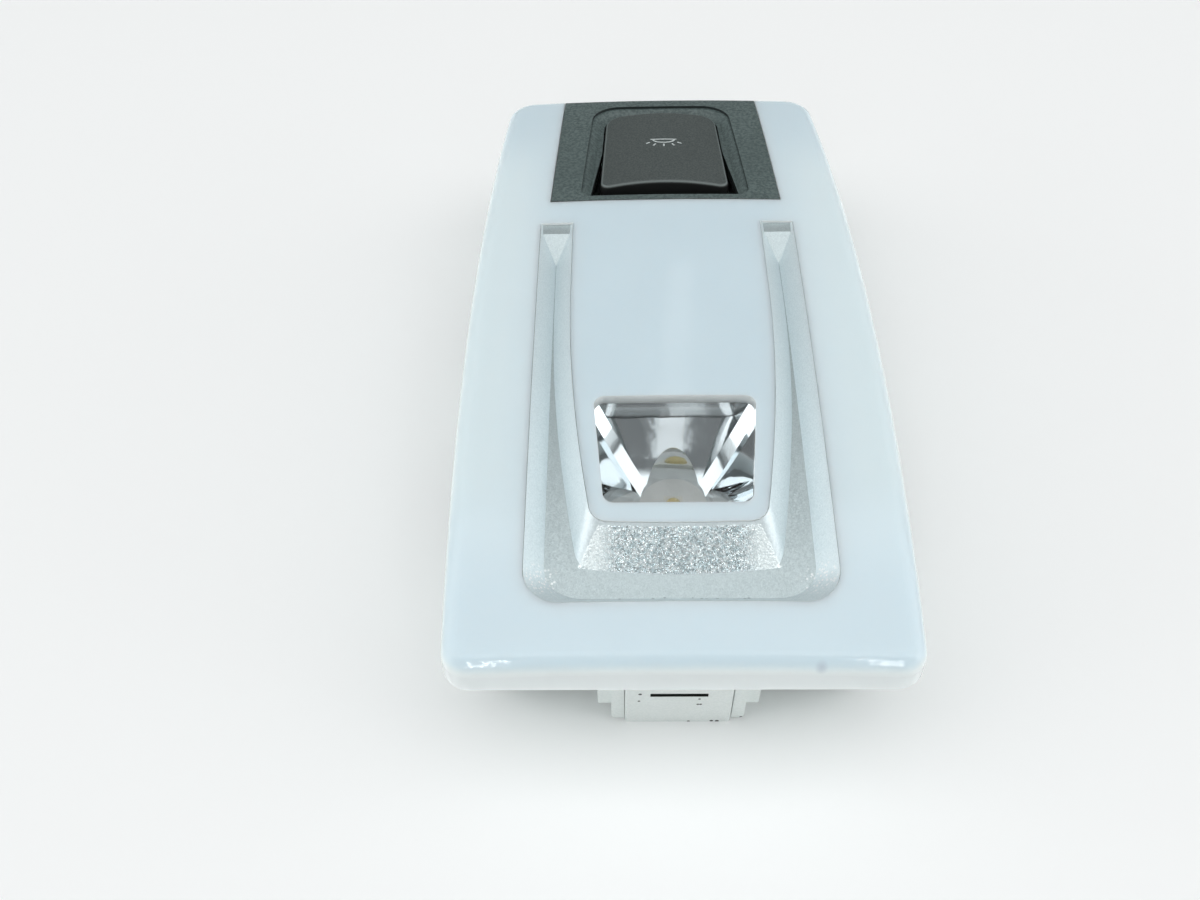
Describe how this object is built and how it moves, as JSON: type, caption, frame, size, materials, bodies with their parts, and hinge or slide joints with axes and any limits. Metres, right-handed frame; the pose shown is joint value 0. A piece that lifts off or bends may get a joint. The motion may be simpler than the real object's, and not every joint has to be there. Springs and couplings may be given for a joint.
{
  "type": "car dome light",
  "caption": "Crowned milky roof lamp with a silver channel round a tongue, a spot window with a chromed reflector, a hinged push button in a dark bezel and a socket at the back.",
  "frame": {"origin": "centre of the lens rim, in the plane that meets the roof lining", "axes": "+Z into the cabin, out of the lens; +Y towards the switch end; +X to the right seen from the spot end"},
  "size_m": [0.0824, 0.156, 0.0356],
  "materials": {
    "milky_lens": "milky translucent, polished",
    "silver_trim": "satin silver, fine sparkle",
    "clear_pane": "clear, polished",
    "chromed_reflector": "mirror",
    "grained_bezel": "fine grain",
    "smooth_button": "smooth satin",
    "black_moulding": "moulded",
    "spring_steel": "bright strip",
    "plunger_white": "moulded",
    "board_white": "white solder resist",
    "led_white": "moulded",
    "led_phosphor": "cast silicone",
    "can_aluminium": "drawn can",
    "header_white": "moulded",
    "tinned_pin": "tinned",
    "housing_white": "moulded"
  },
  "bodies": {
    "lamp": {"lens_cover": "milky_lens", "channel_trim": "silver_trim", "spot_window": "clear_pane", "spot_reflector": "chromed_reflector", "switch_bezel": "grained_bezel", "switch_body": "black_moulding", "switch_cover": "spring_steel", "circuit_board": "board_white", "spot_led": "led_white", "spot_led_dome": "led_phosphor", "ambient_leds": "led_white", "driver_chip": "black_moulding", "resistors": "black_moulding", "capacitors": "can_aluminium", "connector_header": "header_white", "connector_pins": "tinned_pin", "rear_housing": "housing_white", "retaining_clips": "spring_steel", "board_screws": "spring_steel"},
    "button": {"switch_button": "smooth_button"},
    "plunger": {"switch_plunger": "plunger_white"}
  },
  "joints": [
    {"name": "button_press", "type": "hinge", "parent": "lamp", "child": "button", "pos_m": [0, 0.06424, 0.00336], "axis": [1, 0, 0], "range_deg": [0, 4], "stiffness_Nm_per_rad": 0.5, "springref_deg": -2.86},
    {"name": "plunger_travel", "type": "slide", "parent": "lamp", "child": "plunger", "axis": [0, 0, -1], "range_m": [0, 0.0015]}
  ],
  "couplings": [
    {"joint": "plunger_travel", "follows": "button_press", "m_per_rad": 0.02}
  ]
}
